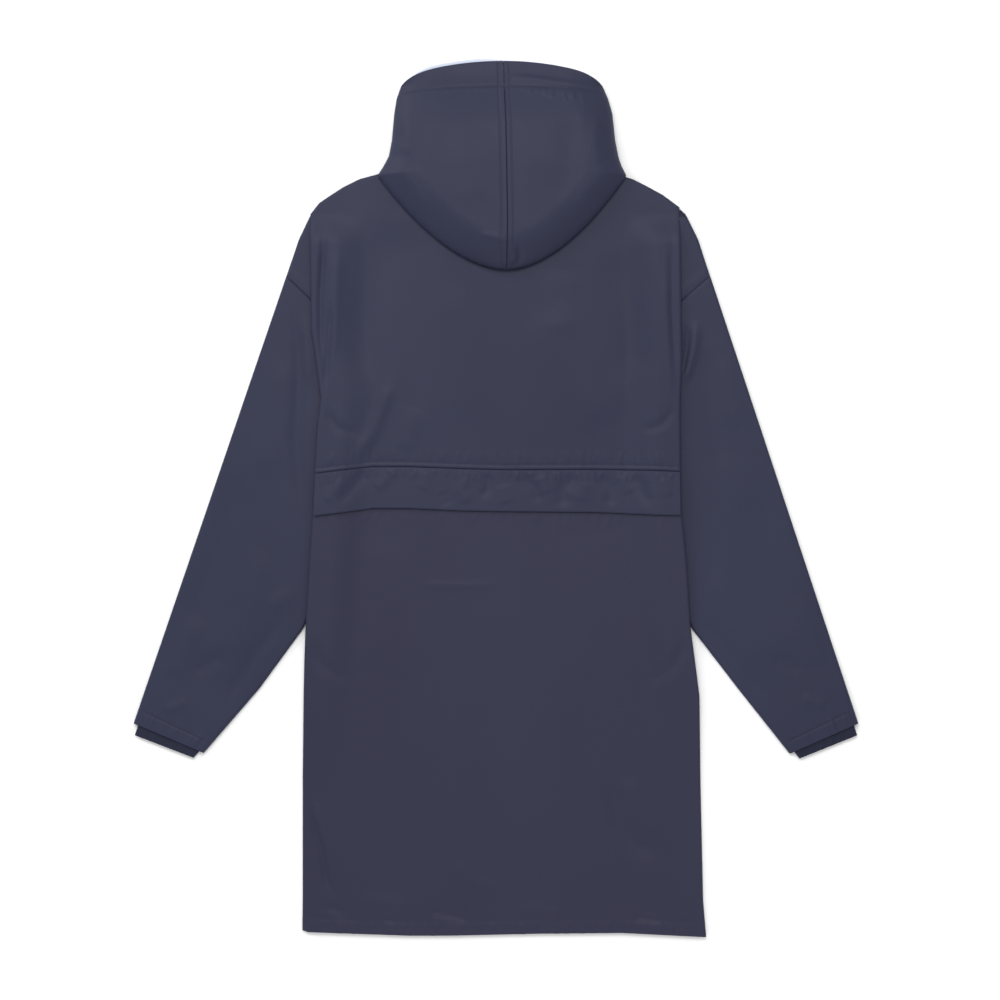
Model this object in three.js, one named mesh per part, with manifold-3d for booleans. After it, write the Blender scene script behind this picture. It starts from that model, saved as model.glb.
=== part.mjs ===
// A hooded rain parka laid flat with its back up, in millimetres.
// +Z is up from the surface it lies on, +Y runs from hem to hood, and the
// wearer's left is at -X. The origin is on that surface, under the middle.
import * as THREE from 'three';
import { mergeVertices } from 'three/addons/utils/BufferGeometryUtils.js';
import Module from 'manifold-3d';

const wasm = await Module();
wasm.setup();

// ---- driving dimensions ----
const CLOTH = 2;              // shell, interlining and lining together
const SEAM = 0.3;             // space left between sewn pieces
const LAID = 7;               // two layers of cloth pressed flat, with the air between
const FRONT_MID = CLOTH / 2;  // middle of the layer on the surface
const BACK_MID = LAID - CLOTH / 2;
const HEM_DEPTH = 20;         // turned hem of fronts and back
const HEM_EXTRA = 1.2;        // what the turned hem adds inside
const OVER_SLEEVE = 7.7;      // the body climbs this much over a tucked sleeve
const RISE_FLAT = 27;         // width of the raised border along each side
const RISE_RAMP = 48;         // width of the slope inside that border
const EDGE_LENGTH = 3.26;     // cloth turned over at a side seam
const EDGE_STEPS = 3;
const BAND_CLOTH = 1.6;       // storm band across the waist
const PLACKET_CLOTH = 1.5;
const PLACKET_WIDTH = 62;
const PLACKET_LIFT = PLACKET_CLOTH + SEAM;
const CUFF_CLOTH = 1.4;       // elasticated storm cuff inside each sleeve
const CUFF_LAID = 9;          // height of the sleeve end around that cuff
const CUFF_PROUD = 14;        // storm cuff seen beyond the sleeve hem
const CUFF_HIDDEN = 42;       // storm cuff inside the sleeve
const HOOD_LOFT = 23;         // height of the soft hood above what it lies on
const HOOD_CROWN = 6;         // extra height along its centre seam
const HOOD_ROUND = 46;        // distance over which its edge rounds down
const HOOD_RIM_SHARE = 0.5;   // the face opening lies this much lower
const LINING_CLOTH = 1.2;
const LINING_DEPTH = 34;      // pale facing inside the face opening
const LAYER_GAP = 0.4;        // space between loose layers

// Half widths of the body at its side edges, from the pleats to the hem.
const BODY_SIDES = [
  { y: 366, left: 241, right: 238.5 },
  { y: 220, left: 239.5, right: 240.5 },
  { y: 181, left: 234, right: 241 },
  { y: 129, left: 227.5, right: 239 },
  { y: 90, left: 232.5, right: 239 },
  { y: 38, left: 235.5, right: 239.5 },
  { y: -14, left: 238, right: 240.5 },
  { y: -79, left: 242, right: 247 },
  { y: -168, left: 247, right: 252.5 },
  { y: -209, left: 248.5, right: 258 },
  { y: -255, left: 249.5, right: 264 },
  { y: -364, left: 251, right: 265.5 },
  { y: -521, left: 251, right: 269 },
  { y: -568, left: 251.5, right: 273 },
];

// Half widths of the fronts above the underarm: armhole, then shoulder to neck.
const FRONT_SIDES = [
  { y: 420, left: 150, right: 158 },
  { y: 414, left: 178, right: 177 },
  { y: 404, left: 198, right: 197 },
  { y: 391, left: 218, right: 220 },
  { y: 370, left: 240, right: 246 },
  { y: 337, left: 256, right: 262.5 },
  { y: 296, left: 270, right: 276 },
  { y: 290, left: 272, right: 278 },
  { y: 249, left: 229, right: 230 },
  { y: 129, left: 227.5, right: 239 },
];

// The shoulder line of the back, from the left pleat over the neck to the right one.
const BACK_TOP = [
  { x: -241, y: 368 },
  { x: -229, y: 383.5 },
  { x: -218, y: 391 },
  { x: -198, y: 404 },
  { x: -177, y: 414.5 },
  { x: -153, y: 421 },
  { x: -112, y: 420 },
  { x: -70, y: 405 },
  { x: -25, y: 399 },
  { x: 30, y: 398.5 },
  { x: 78, y: 405 },
  { x: 120, y: 420 },
  { x: 162, y: 419 },
  { x: 177, y: 414.5 },
  { x: 195, y: 405.5 },
  { x: 216, y: 394 },
  { x: 239, y: 377 },
];

// The waist seam and the lower edge of the storm band.
const WAIST = [
  { x: -236, seam: 32.5, band: -22 },
  { x: -196, seam: 37.5, band: -17 },
  { x: -160, seam: 41.5, band: -12 },
  { x: -112, seam: 41.5, band: -12 },
  { x: -47, seam: 39, band: -15 },
  { x: 10, seam: 37.5, band: -16 },
  { x: 130, seam: 38, band: -17 },
  { x: 208, seam: 36.5, band: -20.5 },
  { x: 240, seam: 35, band: -21 },
];

// The hem of the back.
const HEM = [
  { x: -252, y: -559 },
  { x: -244, y: -562 },
  { x: -113, y: -566.5 },
  { x: -60, y: -566.5 },
  { x: 53, y: -564 },
  { x: 163, y: -563 },
  { x: 273, y: -568.5 },
];

// A sleeve's edges: the fold at the back of the arm, then the underarm edge.
// The underarm edge is tucked under the body for its first three rows.
const SLEEVE = {
  left: { shoulder: [272, 290], turn: [229, 249], cuffOuter: [470.5, -291], cuffInner: [379, -329.5] },
  right: { shoulder: [278, 290], turn: [230, 249], cuffOuter: [470.5, -291], cuffInner: [381, -330.5] },
};
const UNDERARM = [
  { share: 0, y: 129, left: 227.5, right: 239 },
  { share: 0.06, y: 102, left: 226, right: 235 },
  { share: 0.16, y: 54, left: 212, right: 219 },
  { share: 0.45, y: -95, left: 217, right: 224 },
  { share: 0.6, y: -168, left: 250, right: 254 },
  { share: 0.78, y: -246, left: 307, right: 314 },
];
const SLEEVE_ROWS = [0, 0.06, 0.11, 0.16, 0.26, 0.36, 0.45, 0.53, 0.6, 0.7, 0.78, 0.87, 0.94, 1];
const SLEEVE_TURN_SHARE = 0.66;  // place of the armhole's corner across the sleeve

// The hood's side edges above the shoulders.
const HOOD_SIDES = [
  { share: 0, y: 536, left: -123, right: 138 },
  { share: 0.14, y: 519, left: -129, right: 145.5 },
  { share: 0.3, y: 500, left: -132, right: 151 },
  { share: 0.58, y: 466, left: -135, right: 154.5 },
  { share: 0.78, y: 445, left: -139, right: 158.5 },
  { share: 0.9, y: 432, left: -146, right: 163 },
  { share: 1, y: 419.5, left: -154, right: 169.5 },
];
const HOOD_TOP = 567;
const HOOD_BOTTOM = 296;
const HOOD_SEAM_X = 6;        // the centre seam drifts this far off the middle

// The largest soft folds: a ridge or, below zero, a trough from one end to the other.
const FOLDS = [
  { x1: -135, y1: 290, x2: -190, y2: 140, width: 30, height: -1.3 },
  { x1: -130, y1: 150, x2: -178, y2: 60, width: 14, height: 1.2 },
  { x1: 60, y1: 250, x2: 150, y2: 90, width: 38, height: 1.2 },
  { x1: -240, y1: -391, x2: -212, y2: -515, width: 12, height: -1.4 },
  { x1: 144, y1: -365, x2: 208, y2: -470, width: 22, height: -1.3 },
  { x1: -90, y1: -534, x2: -30, y2: -540, width: 12, height: 1.3 },
  { x1: 175, y1: -540, x2: 225, y2: -530, width: 12, height: 1.3 },
  { x1: -60, y1: -120, x2: 20, y2: -420, width: 60, height: 1.1 },
];
const SLEEVE_FOLDS = [
  { x1: 264, y1: 255, x2: 258, y2: 90, width: 11, height: -1.3 },
  { x1: 262, y1: 60, x2: 300, y2: -60, width: 16, height: 1.2 },
  { x1: 330, y1: 40, x2: 392, y2: -190, width: 26, height: -1.2 },
];

// ---- small helpers ----
const mix = (a, b, share) => a + (b - a) * share;
const clamp01 = (value) => Math.min(1, Math.max(0, value));

function smooth(value) {
  const share = clamp01(value);
  return share * share * (3 - 2 * share);
}

// Straight-line reading of one column of a table that is sorted either way.
function read(table, from, to, value) {
  const rising = table[0][from] < table[table.length - 1][from];
  const rows = rising ? table : [...table].reverse();
  if (value <= rows[0][from]) return rows[0][to];
  for (let i = 1; i < rows.length; i += 1) {
    if (value <= rows[i][from]) {
      const share = (value - rows[i - 1][from]) / (rows[i][from] - rows[i - 1][from]);
      return mix(rows[i - 1][to], rows[i][to], share);
    }
  }
  return rows[rows.length - 1][to];
}

function foldHeight(folds, x, y) {
  let height = 0;
  for (const fold of folds) {
    const along = new THREE.Vector2(fold.x2 - fold.x1, fold.y2 - fold.y1);
    const length = along.length();
    along.normalize();
    const from = new THREE.Vector2(x - fold.x1, y - fold.y1);
    const travelled = from.dot(along);
    const aside = from.cross(along);
    const beyond = Math.max(0, -travelled, travelled - length);
    height += fold.height * Math.exp(-((aside ** 2 + beyond ** 2) / fold.width ** 2));
  }
  return height;
}

// ---- heights of the layers ----
const halfWidth = (side, y) => read(BODY_SIDES, 'y', side < 0 ? 'left' : 'right', y);

// 1 over the border along a side edge, falling to 0 inside it.
function sideShare(x, y) {
  const inside = halfWidth(Math.sign(x), y) - Math.abs(x);
  return smooth(1 - (inside - RISE_FLAT) / RISE_RAMP);
}

function backHeight(x, y) {
  const along = smooth((372 - y) / 42) * smooth((y + 212) / 42);
  const inside = halfWidth(Math.sign(x), y) - Math.abs(x);
  const relief = foldHeight(FOLDS, x, y) * smooth((inside - 3) / 16);
  return BACK_MID + OVER_SLEEVE * sideShare(x, y) * along + relief;
}

function frontHeight(x, y) {
  const along = smooth((228 - y) / 58) * smooth((y + 212) / 42);
  const climb = OVER_SLEEVE * sideShare(x, y) * along;
  const placket = PLACKET_LIFT * smooth(1 - (Math.abs(x) - PLACKET_WIDTH / 2 - 6) / 22);
  return FRONT_MID + climb + placket;
}

// ---- closed meshes ----
function solid(vertices, triangles) {
  const geometry = new THREE.BufferGeometry();
  geometry.setAttribute('position', new THREE.Float32BufferAttribute(vertices.flat(), 3));
  geometry.setIndex(triangles.flat());
  return mergeVertices(geometry, 1e-4);
}

function rightWayOut(geometry) {
  const p = geometry.getAttribute('position');
  const index = geometry.getIndex().array;
  const [a, b, c] = [new THREE.Vector3(), new THREE.Vector3(), new THREE.Vector3()];
  let volume = 0;
  for (let i = 0; i < index.length; i += 3) {
    a.fromBufferAttribute(p, index[i]);
    b.fromBufferAttribute(p, index[i + 1]);
    c.fromBufferAttribute(p, index[i + 2]);
    volume += a.dot(b.cross(c));
  }
  if (volume < 0) {
    for (let i = 0; i < index.length; i += 3) {
      [index[i], index[i + 1]] = [index[i + 1], index[i]];
    }
  }
  return geometry;
}

// Unit normals of a grid of points; the grid may close round on itself.
function gridNormals(grid, ring) {
  const rows = grid.length;
  const columns = grid[0].length;
  return grid.map((row, j) => row.map((_, i) => {
    const before = ring ? (i + columns - 1) % columns : Math.max(0, i - 1);
    const after = ring ? (i + 1) % columns : Math.min(columns - 1, i + 1);
    const across = grid[j][after].clone().sub(grid[j][before]);
    const down = grid[Math.min(rows - 1, j + 1)][i].clone().sub(grid[Math.max(0, j - 1)][i]);
    return across.cross(down).normalize();
  }));
}

// A wall of cloth around a grid of points that lie in its middle.
// below(j, i) is how far the wall reaches under the middle at a point.
function clothWall(grid, { cloth = CLOTH, ring = false, below = () => cloth / 2 } = {}) {
  const normals = gridNormals(grid, ring);
  const rows = grid.length;
  const columns = grid[0].length;
  const up = normals[Math.floor(rows / 2)][Math.floor(columns / 4)].z < 0 && !ring ? -1 : 1;
  const vertices = [];
  const place = (j, i, reach) => vertices.push(
    grid[j][i].clone().addScaledVector(normals[j][i], up * reach).toArray(),
  );
  for (let j = 0; j < rows; j += 1) for (let i = 0; i < columns; i += 1) place(j, i, cloth / 2);
  for (let j = 0; j < rows; j += 1) for (let i = 0; i < columns; i += 1) place(j, i, -below(j, i));
  const top = (j, i) => j * columns + (i % columns);
  const under = (j, i) => rows * columns + top(j, i);
  const triangles = [];
  const quad = (a, b, c, d) => triangles.push([a, b, c], [a, c, d]);
  const spans = ring ? columns : columns - 1;
  for (let j = 0; j < rows - 1; j += 1) {
    for (let i = 0; i < spans; i += 1) {
      quad(top(j, i), top(j, i + 1), top(j + 1, i + 1), top(j + 1, i));
      quad(under(j, i), under(j + 1, i), under(j + 1, i + 1), under(j, i + 1));
    }
  }
  for (let i = 0; i < spans; i += 1) {
    quad(top(0, i), under(0, i), under(0, i + 1), top(0, i + 1));
    quad(top(rows - 1, i), top(rows - 1, i + 1), under(rows - 1, i + 1), under(rows - 1, i));
  }
  if (!ring) {
    for (let j = 0; j < rows - 1; j += 1) {
      quad(top(j, 0), top(j + 1, 0), under(j + 1, 0), under(j, 0));
      quad(top(j, columns - 1), under(j, columns - 1), under(j + 1, columns - 1), top(j + 1, columns - 1));
    }
  }
  return rightWayOut(solid(vertices, triangles));
}

// ---- joins and cuts ----
function toManifold(geometry) {
  const bare = geometry.clone();
  bare.deleteAttribute('normal');
  bare.deleteAttribute('uv');
  const merged = mergeVertices(bare, 1e-4);
  return new wasm.Manifold(new wasm.Mesh({
    numProp: 3,
    vertProperties: new Float32Array(merged.getAttribute('position').array),
    triVerts: new Uint32Array(merged.getIndex().array),
  }));
}

function fromManifold(manifold) {
  const mesh = manifold.getMesh();
  const geometry = new THREE.BufferGeometry();
  geometry.setAttribute('position', new THREE.BufferAttribute(mesh.vertProperties, 3));
  geometry.setIndex(new THREE.BufferAttribute(mesh.triVerts, 1));
  return geometry;
}

// ---- turned edges ----
// Places along a strip of cloth that turns by angle: how far inside the edge, and how high.
function turnedEdge(angle, length = EDGE_LENGTH, steps = EDGE_STEPS) {
  const step = length / steps;
  const places = [{ inside: 0, height: 0 }];
  for (let i = 0; i < steps; i += 1) {
    const bend = angle * ((i + 0.5) / steps);
    const last = places[places.length - 1];
    places.push({
      inside: last.inside + step * Math.cos(bend),
      height: last.height + step * Math.sin(bend),
    });
  }
  const whole = places[places.length - 1].inside;
  return places.map((place) => ({ inside: whole - place.inside, height: place.height }));
}

// x places across the body from edge to edge, with the height each edge strip adds.
function bodyColumns(y, shares, angle, inset = CLOTH / 2) {
  const strip = turnedEdge(angle);
  const left = -halfWidth(-1, y) + inset;
  const right = halfWidth(1, y) - inset;
  const first = strip[0].inside;
  const columns = strip.slice(1).reverse().map((s) => ({ x: left + s.inside, drop: s.height }));
  for (const share of shares) {
    columns.push({ x: mix(left + first, right - first, share), drop: 0 });
  }
  strip.slice(1).forEach((s) => columns.push({ x: right - s.inside, drop: s.height }));
  return columns;
}

const BODY_SHARES = [
  0, 0.05, 0.085, 0.12, 0.155, 0.25, 0.35, 0.45, 0.55, 0.65, 0.75, 0.845, 0.88, 0.915, 0.95, 1,
];
const SIDE_TURN = -1.45;      // the side seam's edge turns down by nearly a right angle

const waistSeam = (x) => read(WAIST, 'x', 'seam', x);
const bandEdge = (x) => read(WAIST, 'x', 'band', x);

// ---- back ----
function backMain() {
  const rows = [0, 0.06, 0.14, 0.24, 0.35, 0.46, 0.57, 0.68, 0.78, 0.86, 0.93, 0.985];
  const top = turnedEdge(SIDE_TURN);
  const low = BODY_SIDES[5].y;
  const grid = rows.map((share, j) => {
    const y0 = mix(low, BODY_SIDES[0].y, share);
    return bodyColumns(y0, BODY_SHARES, SIDE_TURN).map(({ x, drop }) => {
      const y = mix(waistSeam(x) + SEAM / 2, read(BACK_TOP, 'x', 'y', x) - top[0].inside, share / 0.985);
      const lip = j < rows.length - 1 ? drop : drop * 0.7;
      return new THREE.Vector3(x, y, backHeight(x, y) + lip);
    });
  });
  for (const { inside, height } of top.slice(1)) {
    grid.push(bodyColumns(BODY_SIDES[0].y, BODY_SHARES, SIDE_TURN).map(({ x, drop }) => {
      const y = read(BACK_TOP, 'x', 'y', x) - inside;
      return new THREE.Vector3(x, y, backHeight(x, y) + Math.min(height, drop * 0.7));
    }));
  }
  return clothWall(grid);
}

// The shoulder's outer end lies under the pleat, down to the armhole seam.
function shoulderTab(side) {
  const key = side < 0 ? 'left' : 'right';
  const { shoulder, turn } = SLEEVE[key];
  const strip = turnedEdge(SIDE_TURN);
  const inner = turn[0] + SEAM;
  const grid = [0, 0.12, 0.3, 0.5, 0.75, 1].map((share) => {
    const outerY = mix(366, shoulder[1], share);
    const edge = read(FRONT_SIDES, 'y', key, outerY) - CLOTH / 2;
    const innerY = mix(366, turn[1], share);
    const places = [0, 0.35, 0.7, 1].map((part) => ({ x: mix(inner, edge - strip[0].inside, part), drop: 0 }));
    strip.slice(1).forEach((s) => places.push({ x: edge - s.inside, drop: s.height }));
    return places.map(({ x, drop }) => {
      const across = (x - inner) / (edge + CLOTH / 2 - inner);
      const y = mix(innerY, outerY, across) + SEAM;
      return new THREE.Vector3(side * x, y, BACK_MID + drop);
    });
  });
  return clothWall(grid);
}

function backUpper() {
  const joined = toManifold(backMain())
    .add(toManifold(shoulderTab(-1)))
    .add(toManifold(shoulderTab(1)));
  return fromManifold(joined);
}

// Rows that the fronts and the skirt share, so that their side edges match.
const SIDE_LEVELS = [-10, -50, -90, -130, -170, -191, -212, -255, -310, -380, -460];

function backSkirt() {
  const hemY = (x) => read(HEM, 'x', 'y', x);
  const top = BODY_SIDES[5].y;
  const bottom = BODY_SIDES[BODY_SIDES.length - 1].y;
  const levels = [top, ...SIDE_LEVELS, bottom + HEM_DEPTH + 22, bottom + HEM_DEPTH + 2, bottom + HEM_DEPTH, bottom];
  const shares = levels.map((level) => (top - level) / (top - bottom));
  const grid = shares.map((share) => {
    const y0 = mix(top, bottom, share);
    return bodyColumns(y0, BODY_SHARES, SIDE_TURN).map(({ x, drop }) => {
      const y = mix(waistSeam(x) - SEAM / 2, hemY(x), share);
      return new THREE.Vector3(x, y, backHeight(x, y) + drop);
    });
  });
  const hemFrom = shares.length - 2;
  const inHem = (j, i) => j >= hemFrom && i > EDGE_STEPS && i < grid[0].length - 1 - EDGE_STEPS;
  return clothWall(grid, { below: (j, i) => CLOTH / 2 + (inHem(j, i) ? HEM_EXTRA : 0) });
}

// The band is caught in the waist seam and lies loose on the skirt below it.
function waistBand() {
  const shares = BODY_SHARES;
  const proud = CLOTH / 2 + LAYER_GAP + BAND_CLOTH / 2;
  const grid = [0, 0.5, 1].map((share) => {
    const y0 = mix(BODY_SIDES[5].y, BODY_SIDES[6].y, share);
    return bodyColumns(y0, shares, 0, BAND_CLOTH).map(({ x }) => {
      const y = mix(waistSeam(x) - SEAM / 2, bandEdge(x), share);
      return new THREE.Vector3(x, y, backHeight(x, y) + proud);
    });
  });
  return clothWall(grid, { cloth: BAND_CLOTH });
}

// ---- fronts ----
// The edge turns up at the shoulder and side seams and lies flat along the armhole.
function frontTurn(y) {
  if (y > 293) return 1;
  return y > 128 ? 0 : 1;
}

function frontEdge(side, y) {
  const key = side < 0 ? 'left' : 'right';
  return y > 129 ? read(FRONT_SIDES, 'y', key, y) : halfWidth(side, y);
}

function front(side) {
  const levels = [
    420, 414, 404, 391, 370, 350, 325, 296, 290, 270, 249, 215, 185, 150, 129, 110, 80,
    38, ...SIDE_LEVELS, -HEM_DEPTH - 2, -HEM_DEPTH, 0,
  ];
  const neck = 62;
  const grid = levels.map((level, j) => {
    const fromHem = j >= levels.length - 3;
    const nominal = fromHem ? HEM[0].y + 4 - level : level;
    const angle = -SIDE_TURN * frontTurn(nominal);
    const strip = turnedEdge(angle);
    const armhole = frontTurn(nominal) === 0 ? SEAM * 1.6 : CLOTH / 2;
    const edge = frontEdge(side, nominal) - armhole;
    const inner = nominal > 360 ? neck + (nominal - 360) * 0.95 : mix(SEAM, neck, smooth((nominal - 250) / 110));
    const places = [0, 0.135, 0.25, 0.66, 0.79, 0.9, 1];
    const columns = places.map((share) => ({ x: mix(inner, edge - strip[0].inside, share), drop: 0 }));
    strip.slice(1).forEach((s) => columns.push({ x: edge - s.inside, drop: s.height }));
    return columns.map(({ x, drop }) => {
      const y = fromHem ? read(HEM, 'x', 'y', side * x) - level + 0.5 : level;
      return new THREE.Vector3(side * x, y, frontHeight(side * x, y) + drop);
    });
  });
  return clothWall(grid);
}

function placket() {
  const half = PLACKET_WIDTH / 2;
  const grid = [-560, -280, 0, 248].map((y) => [-half, half].map((x) => (
    new THREE.Vector3(x, y, PLACKET_CLOTH / 2)
  )));
  return clothWall(grid, { cloth: PLACKET_CLOTH });
}

// ---- sleeves ----
function sleeveRow(side, share) {
  const key = side < 0 ? 'left' : 'right';
  const plan = SLEEVE[key];
  const outer = new THREE.Vector2(
    mix(plan.shoulder[0], plan.cuffOuter[0], share),
    mix(plan.shoulder[1], plan.cuffOuter[1], share),
  );
  const cuff = { share: 1, y: plan.cuffInner[1], [key]: plan.cuffInner[0] };
  const rows = [...UNDERARM, cuff];
  const last = rows[rows.length - 2];
  const beyond = share > 1;
  const inner = beyond
    ? new THREE.Vector2(
      mix(last[key], cuff[key], (share - last.share) / (1 - last.share)),
      mix(last.y, cuff.y, (share - last.share) / (1 - last.share)),
    )
    : new THREE.Vector2(read(rows, 'share', key, share), read(rows, 'share', 'y', share));
  const bend = Math.max(0, 1 - share * 2.2) ** 2;
  const start = new THREE.Vector2(UNDERARM[0][key], UNDERARM[0].y);
  const chord = start.clone().lerp(new THREE.Vector2(...plan.shoulder), SLEEVE_TURN_SHARE);
  const pull = new THREE.Vector2(...plan.turn).sub(chord).multiplyScalar(bend);
  const corner = inner.clone().lerp(outer, SLEEVE_TURN_SHARE).add(pull);
  return { inner, corner, outer };
}

// A point across a row, measured from its underarm edge, or from its outer edge if negative.
function acrossRow({ inner, corner, outer }, share, inset) {
  const from = share < SLEEVE_TURN_SHARE ? inner : corner;
  const to = share < SLEEVE_TURN_SHARE ? corner : outer;
  const part = share < SLEEVE_TURN_SHARE
    ? share / SLEEVE_TURN_SHARE
    : (share - SLEEVE_TURN_SHARE) / (1 - SLEEVE_TURN_SHARE);
  const point = from.clone().lerp(to, part);
  const along = to.clone().sub(from).normalize();
  return point.addScaledVector(along, inset);
}

// One flattened ring of a tube that lies between two heights.
function flatRing(row, { low, high, inset, topShares, underShares, relief }) {
  const radius = (high - low) / 2;
  const middle = (high + low) / 2;
  const ring = [];
  const add = (point, z) => ring.push({ point, z });
  const ends = (share) => (inset + radius) * (Math.max(0, 1 - share * 10) - Math.max(0, share * 10 - 9));
  for (const share of topShares) {
    const point = acrossRow(row, share, ends(share));
    add(point, high + relief(point) * smooth(share * 6) * smooth((1 - share) * 6));
  }
  for (const angle of [45, 0, -45]) {
    const turn = THREE.MathUtils.degToRad(angle);
    add(acrossRow(row, 1, -inset - radius * (1 - Math.cos(turn))), middle + radius * Math.sin(turn));
  }
  for (const share of [...underShares].reverse()) {
    add(acrossRow(row, share, ends(share)), low);
  }
  for (const angle of [-45, 0, 45]) {
    const turn = THREE.MathUtils.degToRad(angle);
    add(acrossRow(row, 0, inset + radius * (1 - Math.cos(turn))), middle + radius * Math.sin(turn));
  }
  return ring;
}

const TOP_SHARES = [0, 0.12, 0.26, 0.4, 0.54, SLEEVE_TURN_SHARE, 0.8, 0.9, 1];
const UNDER_SHARES = [0, 0.25, 0.5, SLEEVE_TURN_SHARE, 0.85, 1];

function sleeve(side) {
  const grid = SLEEVE_ROWS.map((share) => {
    const high = mix(BACK_MID, CUFF_LAID - CLOTH / 2, smooth((share - 0.8) / 0.14));
    const ring = flatRing(sleeveRow(side, share), {
      low: FRONT_MID,
      high,
      inset: CLOTH / 2,
      topShares: TOP_SHARES,
      underShares: UNDER_SHARES,
      relief: (p) => foldHeight(SLEEVE_FOLDS, p.x, p.y) * smooth((share - 0.02) * 12),
    });
    return ring.map(({ point, z }) => new THREE.Vector3(side * point.x, point.y, z));
  });
  return clothWall(grid, { ring: true });
}

function stormCuff(side) {
  const length = 614;
  const from = 1 - CUFF_HIDDEN / length;
  const to = 1 + CUFF_PROUD / length;
  const clear = CLOTH + LAYER_GAP + CUFF_CLOTH / 2;
  const grid = [from, mix(from, 1, 0.55), 1, to].map((share) => {
    const ring = flatRing(sleeveRow(side, share), {
      low: clear,
      high: CUFF_LAID - clear,
      inset: clear + 4,
      topShares: [0, 0.25, 0.5, SLEEVE_TURN_SHARE, 0.85, 1],
      underShares: [0, SLEEVE_TURN_SHARE, 1],
      relief: () => 0,
    });
    return ring.map(({ point, z }) => new THREE.Vector3(side * point.x, point.y, z));
  });
  return clothWall(grid, { cloth: CUFF_CLOTH, ring: true });
}

// ---- hood ----
// A point of the hood's plan: across runs from -1 to 1, down from the rim (0) to the fold (1).
function hoodPlan(across, down) {
  const y0 = read(HOOD_SIDES, 'share', 'y', down);
  const left = read(HOOD_SIDES, 'share', 'left', down);
  const right = read(HOOD_SIDES, 'share', 'right', down);
  const middle = mix(HOOD_TOP, HOOD_BOTTOM, down);
  const size = Math.abs(across);
  const rimShape = 0.67 * size ** 2 + 0.33 * size ** 10;
  const foldShape = size ** 1.83;
  const drift = mix(HOOD_SEAM_X / 3, HOOD_SEAM_X, down) * (1 - size);
  const x = mix(left, right, (across + 1) / 2) + drift;
  return new THREE.Vector2(x, mix(middle, y0, mix(rimShape, foldShape, down)));
}

const HOOD_OUTLINE = [];
for (let i = 0; i <= 10; i += 1) HOOD_OUTLINE.push(hoodPlan(-1, i / 10));
for (let i = 1; i < 24; i += 1) HOOD_OUTLINE.push(hoodPlan(-1 + i / 12, 1));
for (let i = 10; i >= 0; i -= 1) HOOD_OUTLINE.push(hoodPlan(1, i / 10));

function hoodEdgeDistance(point) {
  let nearest = Infinity;
  for (let i = 1; i < HOOD_OUTLINE.length; i += 1) {
    const from = HOOD_OUTLINE[i - 1];
    const edge = HOOD_OUTLINE[i].clone().sub(from);
    const share = clamp01(point.clone().sub(from).dot(edge) / edge.lengthSq());
    nearest = Math.min(nearest, point.distanceTo(from.clone().addScaledVector(edge, share)));
  }
  return nearest;
}

// Height of the cloth's middle: it lies on the back, and on the surface above the shoulders.
function hoodHeight(point) {
  const base = mix(LAID + LAYER_GAP, LAYER_GAP, smooth((point.y - 428) / 20));
  const share = clamp01(hoodEdgeDistance(point) / HOOD_ROUND);
  const rim = mix(HOOD_RIM_SHARE, 1, smooth((HOOD_TOP - point.y) / 90));
  const round = Math.sqrt(1 - (1 - share) ** 2);
  const crown = HOOD_CROWN * smooth(share) * (1 - (point.x / 165) ** 2);
  return base + 0.3 + (HOOD_LOFT * round + crown) * rim;
}

const HOOD_DOWN = [0, 0.06, 0.14, 0.24, 0.36, 0.5, 0.64, 0.76, 0.86, 0.93, 0.975, 1];
const HOOD_ACROSS = [0, 0.16, 0.34, 0.54, 0.72, 0.86, 0.95, 0.985, 1];

function hoodHalf(side) {
  const grid = HOOD_DOWN.map((down) => HOOD_ACROSS.map((size) => {
    const across = side * size * (1 - CLOTH / 2 / 150);
    const plan = hoodPlan(across, mix(0, 1 - CLOTH / 2 / 130, down));
    plan.x += side * (1 - size) * SEAM / 2;
    return new THREE.Vector3(plan.x, plan.y, hoodHeight(plan));
  }));
  return clothWall(grid);
}

// The pale facing shows as a thin crescent beyond the rim, widest on the left.
function hoodLining() {
  const columns = 17;
  const grid = [0, 0.3, 0.62, 1].map((depth) => Array.from({ length: columns }, (_, i) => {
    const across = mix(-0.86, 0.86, i / (columns - 1));
    const rim = hoodPlan(across, 0);
    const proud = 0.8 + 3.2 * smooth((0.1 - across) / 0.4) * smooth((across + 0.92) / 0.2);
    const inner = hoodPlan(across * 0.97, LINING_DEPTH / 240);
    const point = new THREE.Vector2(mix(rim.x, inner.x, depth), mix(rim.y + proud, inner.y, depth));
    const under = hoodHeight(new THREE.Vector2(point.x, Math.min(point.y, rim.y)));
    const gap = CLOTH / 2 + LINING_CLOTH / 2 + LAYER_GAP + 0.4;
    return new THREE.Vector3(point.x, point.y, under - gap);
  }));
  return clothWall(grid, { cloth: LINING_CLOTH });
}

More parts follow.
